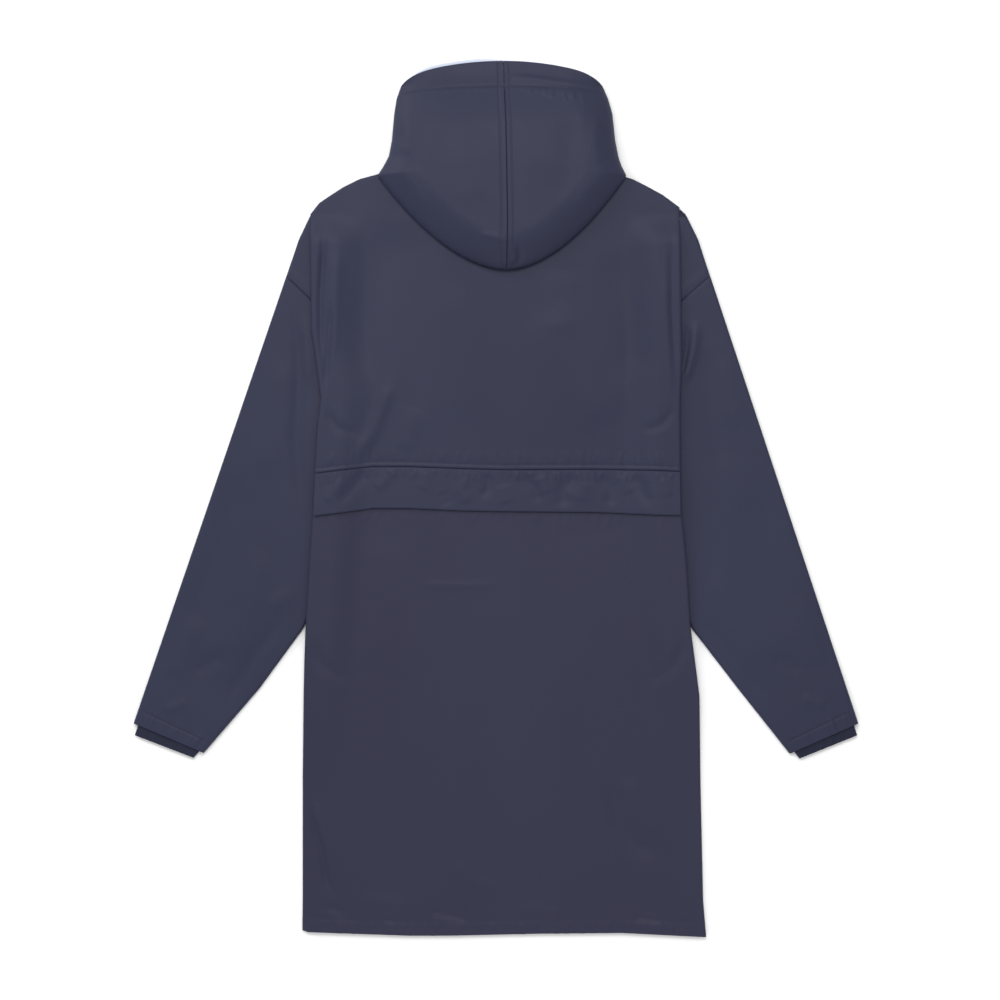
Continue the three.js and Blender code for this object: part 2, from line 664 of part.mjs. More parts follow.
// What lies hidden inside: the folded lower hood and its lining, as one rounded solid.
function hoodInside() {
  const inset = 0.955;
  const below = CLOTH / 2 + LINING_CLOTH + 2 * LAYER_GAP + 0.8;
  const rows = [0.05, 0.14, 0.24, 0.36, 0.5, 0.64, 0.76, 0.86, 0.93, 0.965];
  const spans = [-1, -0.96, -0.88, -0.72, -0.5, -0.25, 0, 0.25, 0.5, 0.72, 0.88, 0.96, 1];
  const vertices = [];
  const triangles = [];
  const count = spans.length;
  for (const down of rows) {
    for (const span of spans) {
      const plan = hoodPlan(span * inset, down);
      vertices.push([plan.x, plan.y, hoodHeight(plan) - below]);
    }
  }
  const lower = vertices.length;
  for (let i = 0; i < lower; i += 1) vertices.push([vertices[i][0], vertices[i][1], 0]);
  const quad = (a, b, c, d) => triangles.push([a, b, c], [a, c, d]);
  const at = (j, i) => j * count + i;
  for (let j = 0; j < rows.length - 1; j += 1) {
    for (let i = 0; i < count - 1; i += 1) {
      quad(at(j, i), at(j, i + 1), at(j + 1, i + 1), at(j + 1, i));
      quad(lower + at(j, i), lower + at(j + 1, i), lower + at(j + 1, i + 1), lower + at(j, i + 1));
    }
    const end = count - 1;
    quad(at(j, 0), at(j + 1, 0), lower + at(j + 1, 0), lower + at(j, 0));
    quad(at(j, end), lower + at(j, end), lower + at(j + 1, end), at(j + 1, end));
  }
  const last = rows.length - 1;
  for (let i = 0; i < count - 1; i += 1) {
    quad(at(0, i), lower + at(0, i), lower + at(0, i + 1), at(0, i + 1));
    quad(at(last, i), at(last, i + 1), lower + at(last, i + 1), lower + at(last, i));
  }
  const filled = toManifold(rightWayOut(solid(vertices, triangles)));
  return fromManifold(filled.subtract(toManifold(bodyFootprint())));
}

// The space that the flattened back and fronts take under the hood.
function bodyFootprint() {
  const margin = 2.5;
  const outline = new THREE.Shape();
  outline.moveTo(BACK_TOP[0].x, 200);
  for (const { x, y } of BACK_TOP) outline.lineTo(x, y + margin);
  outline.lineTo(BACK_TOP[BACK_TOP.length - 1].x, 200);
  outline.closePath();
  const block = new THREE.ExtrudeGeometry(outline, { depth: LAID + LAYER_GAP + 5, bevelEnabled: false });
  block.translate(0, 0, -5);
  return block;
}

// ---- the parka ----
const shell = { color: 0x42455a, roughness: 0.55, metalness: 0 };
const rib = { color: 0x2f3242, roughness: 0.8, metalness: 0 };
const pale = { color: 0xb4bccb, roughness: 0.7, metalness: 0 };
const group = new THREE.Group();

function piece(name, geometry, look) {
  const mesh = new THREE.Mesh(geometry, new THREE.MeshStandardMaterial(look));
  mesh.name = name;
  group.add(mesh);
}

piece('back_upper', backUpper(), shell);
piece('back_waist_band', waistBand(), shell);
piece('back_skirt', backSkirt(), shell);
piece('front_placket', placket(), shell);
for (const [key, side] of [['left', -1], ['right', 1]]) {
  piece(`front_${key}`, front(side), shell);
  piece(`sleeve_${key}`, sleeve(side), shell);
  piece(`storm_cuff_${key}`, stormCuff(side), rib);
  piece(`hood_${key}`, hoodHalf(side), shell);
}
piece('hood_lining', hoodLining(), pale);
piece('hood_inside', hoodInside(), shell);

export default group;
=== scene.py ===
"""A navy hooded rain parka laid flat with its back up, seen from straight above.

Shapes are worked out in millimetres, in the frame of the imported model, and
written to the meshes in metres.
"""
import math
import random

import bpy
import numpy as np
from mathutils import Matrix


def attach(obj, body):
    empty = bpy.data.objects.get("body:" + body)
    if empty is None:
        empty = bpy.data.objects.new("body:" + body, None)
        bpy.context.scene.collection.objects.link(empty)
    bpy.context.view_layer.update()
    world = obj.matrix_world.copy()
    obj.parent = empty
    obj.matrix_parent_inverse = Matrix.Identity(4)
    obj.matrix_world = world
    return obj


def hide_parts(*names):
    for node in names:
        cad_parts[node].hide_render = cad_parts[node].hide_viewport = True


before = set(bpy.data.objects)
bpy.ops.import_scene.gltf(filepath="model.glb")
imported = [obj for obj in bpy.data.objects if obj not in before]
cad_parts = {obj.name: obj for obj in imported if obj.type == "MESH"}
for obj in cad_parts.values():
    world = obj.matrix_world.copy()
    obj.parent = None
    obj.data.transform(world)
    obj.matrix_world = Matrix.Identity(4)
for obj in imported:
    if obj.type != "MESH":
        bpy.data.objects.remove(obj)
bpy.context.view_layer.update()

MM = 0.001

# ---- sizes shared with the solids (mm) ----
CLOTH = 2.0
SEAM = 0.3
LAID = 7.0
FRONT_MID = CLOTH / 2
BACK_MID = LAID - CLOTH / 2
OVER_SLEEVE = 7.7
RISE_FLAT, RISE_RAMP = 27, 48
RAMP_END, RAMP_LENGTH = 400, 230
EDGE_LENGTH, EDGE_TURN = 3.26, 1.45
BAND_CLOTH = 1.6
PLACKET_CLOTH, PLACKET_WIDTH = 1.5, 62
PLACKET_LIFT = PLACKET_CLOTH + SEAM
CUFF_CLOTH, CUFF_LAID, CUFF_PROUD, CUFF_HIDDEN = 1.4, 9.0, 14, 42
HOOD_LOFT, HOOD_CROWN, HOOD_ROUND, HOOD_RIM_SHARE = 23, 6, 46, 0.5
HOOD_TOP, HOOD_BOTTOM, HOOD_SEAM_X = 567, 296, 6
LINING_CLOTH, LINING_DEPTH = 1.2, 34
LAYER_GAP = 0.4
SLEEVE_LENGTH = 614
TURN_SHARE = 0.66
PLEAT_TOP = 366
WAIST_LEVEL = 38
ARMHOLE_TOP, ARMHOLE_BOTTOM = 293, 128
NECK_HALF, NECK_LEVEL, NECK_FALL = 62, 360, 110
HEM_STITCH, SLEEVE_STITCH, WAIST_STITCH, HOOD_STITCH = 18, 19, 6.5, 7.5
UPPER_COLUMNS = 104


def table(columns, rows):
    """A short table with named columns, as arrays sorted by the first column."""
    values = np.array(sorted(rows), dtype=float)
    return {name: values[:, i] for i, name in enumerate(columns.split())}


def read(rows, key, column, value):
    return np.interp(value, rows[key], rows[column])


BODY_SIDES = table("y left right", [
    (366, 241, 238.5), (220, 239.5, 240.5), (181, 234, 241), (129, 227.5, 239),
    (90, 232.5, 239), (38, 235.5, 239.5), (-14, 238, 240.5), (-79, 242, 247),
    (-168, 247, 252.5), (-209, 248.5, 258), (-255, 249.5, 264), (-364, 251, 265.5),
    (-521, 251, 269), (-568, 251.5, 273),
])
FRONT_SIDES = table("y left right", [
    (420, 150, 158), (414, 178, 177), (404, 198, 197), (391, 218, 220),
    (370, 240, 246), (337, 256, 262.5), (296, 270, 276), (290, 272, 278),
    (249, 229, 230), (129, 227.5, 239),
])
BACK_TOP = table("x y", [
    (-241, 368), (-229, 383.5), (-218, 391), (-198, 404), (-177, 414.5), (-153, 421),
    (-112, 420), (-70, 405), (-25, 399), (30, 398.5), (78, 405), (120, 420),
    (162, 419), (177, 414.5), (195, 405.5), (216, 394), (239, 377),
])
WAIST = table("x seam band", [
    (-236, 32.5, -22), (-196, 37.5, -17), (-160, 41.5, -12), (-112, 41.5, -12),
    (-47, 39, -15), (10, 37.5, -16), (130, 38, -17), (208, 36.5, -20.5), (240, 35, -21),
])
HEM = table("x y", [
    (-252, -559), (-244, -562), (-113, -566.5), (-60, -566.5), (53, -564),
    (163, -563), (273, -568.5),
])
UNDERARM = table("share y left right", [
    (0, 129, 227.5, 239), (0.06, 102, 226, 235), (0.16, 54, 212, 219),
    (0.45, -95, 217, 224), (0.6, -168, 250, 254), (0.78, -246, 307, 314),
])
HOOD_SIDES = table("share y left right", [
    (0, 536, -123, 138), (0.14, 519, -129, 145.5), (0.3, 500, -132, 151),
    (0.58, 466, -135, 154.5), (0.78, 445, -139, 158.5), (0.9, 432, -146, 163),
    (1, 419.5, -154, 169.5),
])
SLEEVES = {
    "left": {"side": -1, "shoulder": (272, 290), "turn": (229, 249),
             "cuff_outer": (470.5, -291), "cuff_inner": (379, -329.5)},
    "right": {"side": 1, "shoulder": (278, 290), "turn": (230, 249),
              "cuff_outer": (470.5, -291), "cuff_inner": (381, -330.5)},
}

# ---- creases: points along each, its width and its height, below zero a trough (mm) ----
BACK_FOLDS = [
    ([(-125, 369), (-157, 259), (-190, 142)], 32, -1.9),
    ([(60, 250), (150, 90)], 40, 1.2),
    ([(-60, -120), (20, -420)], 60, 1.0),
    ([(-136, 153), (-161, 85), (-181, 52)], 9, 1.5),
    ([(-100, 120), (-122, 60)], 13, 0.8),
    ([(-222, 350), (-229, 259), (-228, 140)], 5, -2.2),
    ([(-214, 252), (-218, 187), (-226, 135)], 5, -1.7),
    ([(-205, 330), (-210, 240), (-219, 160)], 8, 0.9),
    ([(231, 345), (229, 250), (236, 150)], 6, -1.6),
    ([(219, 300), (222, 210), (230, 130)], 9, 0.9),
    ([(150, 330), (172, 240), (190, 150)], 22, -0.9),
    ([(-60, 280), (-40, 190), (-52, 90)], 34, 0.7),
    ([(92, 300), (80, 210)], 24, 0.6),
    ([(-226, 118), (-205, 92), (-178, 82)], 6, -0.8),
    ([(236, 120), (214, 96), (190, 88)], 6, -0.7),
]
SKIRT_FOLDS = [
    ([(-248, -391), (-238, -420), (-226, -454), (-220, -494), (-209, -517)], 5, -1.5),
    ([(-240, -388), (-229, -420), (-217, -456), (-211, -496)], 8, 1.2),
    ([(144, -365), (162, -420), (177, -442), (208, -465)], 13, -1.7),
    ([(166, -360), (188, -410), (214, -440)], 15, 1.0),
    ([(-99, -112), (-1, -112)], 3.5, 0.5),
    ([(-150, -40), (-140, -130), (-156, -230)], 24, 0.8),
    ([(110, -40), (122, -150), (108, -250)], 26, 0.7),
    ([(-222, -528), (-196, -537)], 5, -1.3),
    ([(-144, -542), (-131, -549)], 4, -1.1),
    ([(-88, -534), (-34, -544)], 5, -1.5),
    ([(177, -541), (217, -546)], 5, -1.4),
    ([(30, -530), (90, -540)], 7, 0.8),
    ([(-180, -520), (-110, -530)], 9, 0.8),
    ([(-244, -182), (-226, -214), (-190, -236)], 8, -0.9),
    ([(250, -178), (232, -214), (196, -240)], 8, -0.9),
    ([(-60, -470), (-30, -500), (20, -512)], 12, 0.7),
]
BAND_FOLDS = [
    ([(-164, 41), (-204, -7)], 5, -1.2), ([(-129, 40), (-157, 12)], 5, 1.1),
    ([(-196, 27), (-222, -5)], 5, 1.1), ([(-10, 34), (-10, 13), (-20, 1)], 4, -1.3),
    ([(-39, 29), (-46, 12), (-35, -7)], 5, 1.1), ([(35, 32), (51, 12), (57, -7)], 4.5, -1.2),
    ([(57, 31), (65, 5)], 5, 1.1), ([(103, 32), (86, 12), (87, -13)], 6, -1.7),
    ([(114, 24), (108, -4)], 8, 1.2), ([(133, 32), (148, 14), (147, -12)], 5, -1.3),
    ([(162, 32), (174, 6)], 5, 1.1), ([(182, 34), (188, 12), (203, -9)], 5, -1.3),
    ([(-90, 36), (-96, 10)], 6, 0.8), ([(-70, 10), (-62, -10)], 6, -0.7),
    ([(8, 20), (14, -8)], 7, 0.8), ([(216, 28), (222, 2)], 5, 0.9),
]
SLEEVE_FOLDS = {
    "left": [
        ([(264, 259), (255, 200), (257, 129), (260, 77), (255, 25), (248, -27)], 9, -1.3),
        ([(250, 240), (242, 150)], 7, 0.9),
        ([(276, 190), (285, 90), (305, 20)], 24, 0.9),
        ([(330, 40), (366, -80), (392, -190)], 26, -1.1),
        ([(300, -60), (322, -150), (352, -220)], 18, 0.9),
        ([(272, -150), (310, -200), (350, -262)], 10, -0.8),
        ([(386, -150), (420, -236)], 14, 0.8),
        ([(352, -200), (392, -226)], 9, -0.7),
        ([(262, -120), (296, -140)], 10, 0.7),
        ([(400, -262), (430, -276)], 7, 0.7),
    ],
    "right": [
        ([(261, 233), (256, 194), (243, 150)], 6, 2.0),
        ([(250, 228), (247, 190), (242, 160)], 5, -1.8),
        ([(272, 200), (280, 110), (302, 30)], 20, -1.0),
        ([(296, 190), (318, 90)], 22, 0.8),
        ([(330, 20), (352, -90), (388, -180)], 26, -1.1),
        ([(276, -90), (310, -160), (352, -226)], 15, 0.9),
        ([(262, -152), (306, -206), (344, -262)], 9, -0.8),
        ([(390, -120), (424, -220)], 16, 0.8),
        ([(358, -206), (398, -222)], 9, -0.7),
        ([(396, -258), (428, -270)], 7, 0.7),
    ],
}
HOOD_FOLDS = [
    ([(13, 547), (60, 542), (116, 534), (146, 519)], 4, 1.1),
    ([(-23, 341), (-6, 338), (12, 333)], 4, 1.1),
    ([(20, 330), (22, 314), (20, 302)], 4, 1.4),
    ([(29, 328), (31, 312), (27, 303)], 3.5, -1.2),
    ([(-116, 500), (-112, 470), (-118, 440)], 9, 1.0),
    ([(-96, 520), (-88, 470), (-98, 410)], 16, -0.8),
    ([(134, 500), (128, 460), (136, 430)], 9, 1.0),
    ([(104, 500), (96, 440), (78, 380)], 22, -1.0),
    ([(-60, 500), (-52, 430), (-36, 370)], 26, 0.8),
    ([(-130, 432), (-108, 404), (-86, 372)], 8, 0.8),
    ([(146, 430), (122, 400), (100, 372)], 9, 0.8),
]


def gathers(low, high, count, seed, at, length, width, height, lean=0.4):
    """Small uneven puckers: at(x) gives the y where each starts."""
    draw = random.Random(seed)
    folds = []
    for i in range(count):
        x = low + (high - low) * (i + draw.uniform(0.1, 0.9)) / count
        reach = length * draw.uniform(0.5, 1.2)
        start = float(at(x))
        side = draw.uniform(-lean, lean) * reach
        folds.append(([(x, start), (x + side, start - reach)],
                      width * draw.uniform(0.7, 1.3), height * draw.uniform(0.3, 1.0)))
    return folds


def deeper(folds, height_by, width_by=1.0):
    return [(points, width * width_by, height * height_by) for points, width, height in folds]


def smooth(value):
    share = np.clip(value, 0, 1)
    return share * share * (3 - 2 * share)


def mix(a, b, share):
    return a + (b - a) * share


def crease_height(folds, x, y):
    """Sum of soft ridges and troughs, each fading out towards its ends."""
    total = np.zeros(np.broadcast(x, y).shape)
    for points, width, height in folds:
        steps = [math.dist(a, b) for a, b in zip(points, points[1:])]
        whole = sum(steps)
        nearest = np.full(total.shape, np.inf)
        travelled = np.zeros(total.shape)
        done = 0.0
        for (ax, ay), (bx, by), step in zip(points, points[1:], steps):
            ux, uy = (bx - ax) / step, (by - ay) / step
            along = np.clip((x - ax) * ux + (y - ay) * uy, 0, step)
            distance = np.hypot(x - ax - along * ux, y - ay - along * uy)
            closer = distance < nearest
            nearest = np.where(closer, distance, nearest)
            travelled = np.where(closer, done + along, travelled)
            done += step
        fade = smooth(travelled / whole / 0.22) * smooth((1 - travelled / whole) / 0.22)
        total += height * np.exp(-((nearest / width) ** 2)) * (0.15 + 0.85 * fade)
    return total


def half_width(x, y):
    return np.where(x < 0, read(BODY_SIDES, "y", "left", y), read(BODY_SIDES, "y", "right", y))


def side_share(x, y):
    return smooth(1 - (half_width(x, y) - np.abs(x) - RISE_FLAT) / RISE_RAMP)


def back_height(x, y, folds=()):
    along = smooth((372 - y) / 42) * smooth((y + RAMP_END) / RAMP_LENGTH)
    inside = half_width(x, y) - np.abs(x)
    relief = crease_height(folds, x, y) * smooth((inside - 3) / 14)
    return BACK_MID + OVER_SLEEVE * side_share(x, y) * along + relief


def front_height(x, y):
    along = smooth((228 - y) / 58) * smooth((y + RAMP_END) / RAMP_LENGTH)
    placket = PLACKET_LIFT * smooth(1 - (np.abs(x) - PLACKET_WIDTH / 2 - 6) / 22)
    return FRONT_MID + OVER_SLEEVE * side_share(x, y) * along + placket


# ---- meshes ----
def mesh_object(name, vertices, faces, flat_from=None):
    """A mesh, smooth shaded up to face number flat_from."""
    mesh = bpy.data.meshes.new(name)
    mesh.from_pydata((np.asarray(vertices) * MM).tolist(), [], [list(map(int, f)) for f in faces])
    rounded = len(mesh.polygons) if flat_from is None else flat_from
    mesh.polygons.foreach_set("use_smooth", np.arange(len(mesh.polygons)) < rounded)
    mesh.validate()
    piece = bpy.data.objects.new(name, mesh)
    bpy.context.scene.collection.objects.link(piece)
    return piece


def grid_normals(grid, ring):
    if ring:
        across = np.roll(grid, -1, axis=1) - np.roll(grid, 1, axis=1)
    else:
        across = np.gradient(grid, axis=1)
    down = np.gradient(grid, axis=0)
    normal = np.cross(across, down)
    return normal / np.maximum(np.linalg.norm(normal, axis=2, keepdims=True), 1e-9)


def cloth_wall(name, grid, cloth=CLOTH, ring=False, up=1):
    """A closed wall around a grid of points that lie in its middle."""
    rows, columns = grid.shape[:2]
    normal = grid_normals(grid, ring) * up
    vertices = np.concatenate([
        (grid + normal * cloth / 2).reshape(-1, 3),
        (grid - normal * cloth / 2).reshape(-1, 3),
    ])
    index = np.arange(rows * columns).reshape(rows, columns)
    if ring:
        index = np.concatenate([index, index[:, :1]], axis=1)
    under = index + rows * columns
    a, b, c, d = index[:-1, :-1], index[:-1, 1:], index[1:, 1:], index[1:, :-1]
    e, f, g, h = under[:-1, :-1], under[:-1, 1:], under[1:, 1:], under[1:, :-1]
    faces = [np.stack([a, b, c, d], -1).reshape(-1, 4), np.stack([e, h, g, f], -1).reshape(-1, 4)]
    for top, low, flip in ((index[0], under[0], 1), (index[-1], under[-1], -1)):
        rim = np.stack([top[:-1], low[:-1], low[1:], top[1:]], -1)
        faces.append(rim[:, ::flip])
    if not ring:
        for top, low, flip in ((index[:, 0], under[:, 0], -1), (index[:, -1], under[:, -1], 1)):
            rim = np.stack([top[:-1], low[:-1], low[1:], top[1:]], -1)
            faces.append(rim[:, ::flip])
    walls = len(faces[0]) + len(faces[1])
    faces = np.concatenate(faces)
    if signed_volume(vertices, faces) < 0:
        faces = faces[:, ::-1]
    return mesh_object(name, vertices, faces, walls)


def signed_volume(vertices, faces):
    p = vertices[faces]
    first = np.einsum("ij,ij->i", p[:, 0], np.cross(p[:, 1], p[:, 2])).sum()
    return first + np.einsum("ij,ij->i", p[:, 0], np.cross(p[:, 2], p[:, 3])).sum()


def lay_sheet(piece, node, material):
    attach(piece, "root")
    if node:
        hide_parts(node)
    piece.data.materials.append(material)


# ---- materials ----
def new_material(name):
    material = bpy.data.materials.new(name)
    material.use_nodes = True
    nodes = material.node_tree.nodes
    return material, nodes, material.node_tree.links, nodes["Principled BSDF"]


def noise(nodes, links, source, scale, detail=3, stretch=(1, 1, 1)):
    mapping = nodes.new("ShaderNodeMapping")
    mapping.inputs["Scale"].default_value = stretch
    links.new(source, mapping.inputs["Vector"])
    texture = nodes.new("ShaderNodeTexNoise")
    texture.inputs["Scale"].default_value = scale
    texture.inputs["Detail"].default_value = detail
    links.new(mapping.outputs["Vector"], texture.inputs["Vector"])
    return texture.outputs["Fac"]


def weave(nodes, links, source, pitch):
    """Height of a plain weave: two crossed sine waves."""
    waves = []
    for turn in (0, math.pi / 2):
        mapping = nodes.new("ShaderNodeMapping")
        mapping.inputs["Rotation"].default_value = (0, 0, turn)
        links.new(source, mapping.inputs["Vector"])
        wave = nodes.new("ShaderNodeTexWave")
        wave.inputs["Scale"].default_value = 1 / pitch / 3.2
        wave.inputs["Distortion"].default_value = 0.6
        wave.inputs["Detail"].default_value = 1
        links.new(mapping.outputs["Vector"], wave.inputs["Vector"])
        waves.append(wave.outputs["Fac"])
    product = nodes.new("ShaderNodeMath")
    product.operation = "MULTIPLY"
    links.new(waves[0], product.inputs[0])
    links.new(waves[1], product.inputs[1])
    return product.outputs[0]


def ramp(nodes, links, source, stops):
    node = nodes.new("ShaderNodeValToRGB")
    elements = node.color_ramp.elements
    for element, (place, colour) in zip(elements, (stops[0], stops[-1])):
        element.position = place
        element.color = (*colour, 1)
    links.new(source, node.inputs["Fac"])
    return node.outputs["Color"]


def bump(nodes, links, source, strength, distance, after=None):
    node = nodes.new("ShaderNodeBump")
    node.inputs["Strength"].default_value = strength
    node.inputs["Distance"].default_value = distance
    links.new(source, node.inputs["Height"])
    if after:
        links.new(after, node.inputs["Normal"])
    return node.outputs["Normal"]


def cloth_material(name, dark, light, roughness, sheen, sheen_tint, pitch=0.0007, soft=0.5):
    material, nodes, links, shader = new_material(name)
    place = nodes.new("ShaderNodeTexCoord").outputs["Object"]
    # Random tone in the base colour, stretched along y into long streaks that also stand in for the soft
    # shading of vertical drapes: partly painted shade.
    tone = noise(nodes, links, place, 3, 2, (1.6, 0.5, 1))
    links.new(ramp(nodes, links, tone, [(0.3, dark), (0.7, light)]), shader.inputs["Base Color"])
    shade = noise(nodes, links, place, 26, 3)
    spread = nodes.new("ShaderNodeMapRange")
    spread.inputs["To Min"].default_value = roughness - 0.05
    spread.inputs["To Max"].default_value = roughness + 0.07
    links.new(shade, spread.inputs["Value"])
    links.new(spread.outputs["Result"], shader.inputs["Roughness"])
    shader.inputs["Sheen Weight"].default_value = sheen
    shader.inputs["Sheen Roughness"].default_value = 0.5
    shader.inputs["Sheen Tint"].default_value = (*sheen_tint, 1)
    shader.inputs["Specular IOR Level"].default_value = 0.14
    ripple = noise(nodes, links, place, 30, 5, (1, 0.45, 1))
    grain = bump(nodes, links, weave(nodes, links, place, pitch), 0.25, 0.00012)
    links.new(bump(nodes, links, ripple, soft, 0.0012, grain), shader.inputs["Normal"])
    return material


SHELL = cloth_material("coated_nylon_navy", (0.0215, 0.0240, 0.0480), (0.0250, 0.0275, 0.0540),
                       0.46, 0.04, (0.5, 0.6, 1.0))
# A copy of the navy shell, warmer and less blue: painted sheen, the different sheen seen on the skirt put
# into the base colour. The front panels and placket share it.
SHELL_PAINTED_SHEEN_TINT = cloth_material("coated_nylon_navy_painted_sheen_tint", (0.0235, 0.0240, 0.0470), (0.0265, 0.0270, 0.0525),
                       0.46, 0.04, (0.55, 0.6, 1.0))
CUFF = cloth_material("storm_cuff_rib", (0.014, 0.016, 0.032), (0.019, 0.021, 0.041),
                      0.75, 0.06, (0.5, 0.55, 0.7), 0.0016)
FACING = cloth_material("pale_facing", (0.50, 0.55, 0.66), (0.58, 0.63, 0.74),
                        0.8, 0.2, (0.9, 0.94, 1), 0.0012)
THREAD = cloth_material("navy_thread", (0.014, 0.016, 0.034), (0.020, 0.023, 0.046),
                        0.6, 0.04, (0.6, 0.66, 0.9), 0.0004)


# ---- grids ----
def strip_places(turn, count):
    """Places along cloth that turns over at an edge: how far inside it and how high."""
    step = EDGE_LENGTH / count
    bends = turn * (np.arange(count) + 0.5) / count
    inside = np.concatenate([[0], np.cumsum(step * np.cos(bends))])
    height = np.concatenate([[0], np.cumsum(step * np.sin(bends))])
    return inside[-1] - inside, height


def body_columns(y, count, turn=-EDGE_TURN, inset=CLOTH / 2, strip=5):
    """x across the body at height y, and how much each edge strip drops."""
    inside, height = strip_places(turn, strip)
    left = -read(BODY_SIDES, "y", "left", y) + inset
    right = read(BODY_SIDES, "y", "right", y) - inset
    middle = np.linspace(left + inside[0], right - inside[0], count)
    x = np.concatenate([left + inside[:0:-1], middle, right - inside[1:]])
    drop = np.concatenate([height[:0:-1], np.zeros(count), height[1:]])
    return x, drop


def dense(low, high, count, *near):
    """Levels from low to high, drawn closer together around the given ones."""
    base = np.linspace(low, high, count)
    for place, reach in near:
        pull = np.exp(-((base - place) / reach) ** 2)
        base = base + (place - base) * 0.55 * pull
    base = np.sort(base)
    return low + (base - base[0]) * (high - low) / (base[-1] - base[0])


UPPER_RELIEF = deeper(BACK_FOLDS, 1.7) + gathers(
    -225, 228, 62, 11, lambda x: read(WAIST, "x", "seam", x) + 24, 20, 2.6, 0.55)
SKIRT_RELIEF = (
    deeper(SKIRT_FOLDS, 1.6)
    + gathers(-235, 238, 40, 12, lambda x: read(WAIST, "x", "band", x) + 4, 26, 3, 0.5)
    + gathers(-244, 262, 66, 13, lambda x: read(HEM, "x", "y", x) + 15, 13, 2.6, 0.8, 0.9)
)
BAND_RELIEF = deeper(BAND_FOLDS, 1.05, 1.5) + gathers(
    -228, 232, 54, 14, lambda x: read(WAIST, "x", "seam", x) - 2, 13, 2.4, 0.8)


def groove(distance, depth, width=1.5):
    return -depth * np.exp(-((distance / width) ** 2))


def upper_height(x, y):
    over_seam = y - read(WAIST, "x", "seam", x)
    stitched = groove(over_seam - WAIST_STITCH, 0.45) + 0.5 * np.exp(-((over_seam - 2.6) / 2.2) ** 2)
    return back_height(x, y, UPPER_RELIEF) + stitched


def make_upper():
    columns, rows, strip = 286, 132, 5
    levels = dense(WAIST_LEVEL, PLEAT_TOP, rows, (WAIST_LEVEL + 6, 22))
    inside, height = strip_places(-EDGE_TURN, strip)
    grid = []
    for j, level in enumerate(levels):
        share = (level - WAIST_LEVEL) / (PLEAT_TOP - WAIST_LEVEL)
        x, drop = body_columns(level, columns)
        top = read(BACK_TOP, "x", "y", x) - inside[0]
        y = mix(read(WAIST, "x", "seam", x), top, share)
        grid.append(np.stack([x, y, upper_height(x, y) + drop], -1))
    for near, low in zip(inside[1:], height[1:]):
        x, drop = body_columns(PLEAT_TOP, columns)
        y = read(BACK_TOP, "x", "y", x) - near
        grid.append(np.stack([x, y, upper_height(x, y) + np.minimum(drop, low)], -1))
    return np.array(grid)


def make_tab(key):
    plan = SLEEVES[key]
    inside, height = strip_places(-EDGE_TURN, 5)
    inner = plan["turn"][0] + SEAM
    grid = []
    for share in np.linspace(0, 1, 70):
        outer_y = mix(PLEAT_TOP, plan["shoulder"][1], share)
        inner_y = mix(PLEAT_TOP, plan["turn"][1], share)
        edge = read(FRONT_SIDES, "y", key, outer_y) - CLOTH / 2
        x = np.concatenate([np.linspace(inner, edge - inside[0], 26), edge - inside[1:]])
        drop = np.concatenate([np.zeros(26), height[1:]])
        across = (x - inner) / (edge + CLOTH / 2 - inner)
        y = mix(inner_y, outer_y, across) + SEAM
        z = BACK_MID + drop + 0.35 * np.exp(-(((1 - share) * 60 - 5) / 4) ** 2)
        grid.append(np.stack([plan["side"] * x, y, z], -1))
    return np.array(grid)


def skirt_height(x, y):
    over_hem = y - read(HEM, "x", "y", x)
    hem = groove(over_hem - HEM_STITCH, 0.6) + 0.45 * np.exp(-((over_hem - 3) / 3.5) ** 2)
    return back_height(x, y, SKIRT_RELIEF) + hem


def make_skirt():
    columns, rows = 286, 150
    low = -568
    levels = dense(low, WAIST_LEVEL, rows, (low + 12, 34))[::-1]
    grid = []
    for level in levels:
        share = (WAIST_LEVEL - level) / (WAIST_LEVEL - low)
        x, drop = body_columns(level, columns)
        y = mix(read(WAIST, "x", "seam", x), read(HEM, "x", "y", x), share)
        grid.append(np.stack([x, y, skirt_height(x, y) + drop], -1))
    return np.array(grid)


def make_band():
    columns, rows = 330, 30
    proud = CLOTH / 2 + LAYER_GAP + BAND_CLOTH / 2
    grid = []
    for share in np.linspace(0, 1, rows):
        level = mix(WAIST_LEVEL, -14, share)
        x, _ = body_columns(level, columns, 0, BAND_CLOTH)
        y = mix(read(WAIST, "x", "seam", x), read(WAIST, "x", "band", x), share)
        lift = 0.1 + 1.7 * smooth(share)
        relief = np.maximum(crease_height(BAND_RELIEF, x, y), -1.2 - share)
        edge = smooth((half_width(x, y) - np.abs(x) - 1) / 8)
        z = back_height(x, y, SKIRT_FOLDS) + proud + lift + relief * edge
        grid.append(np.stack([x, y, z], -1))
    return np.array(grid)


def front_turn(y):
    """How far a front's edge turns over: not at all along the armhole."""
    return 0.0 if ARMHOLE_BOTTOM < y <= ARMHOLE_TOP else 1.0


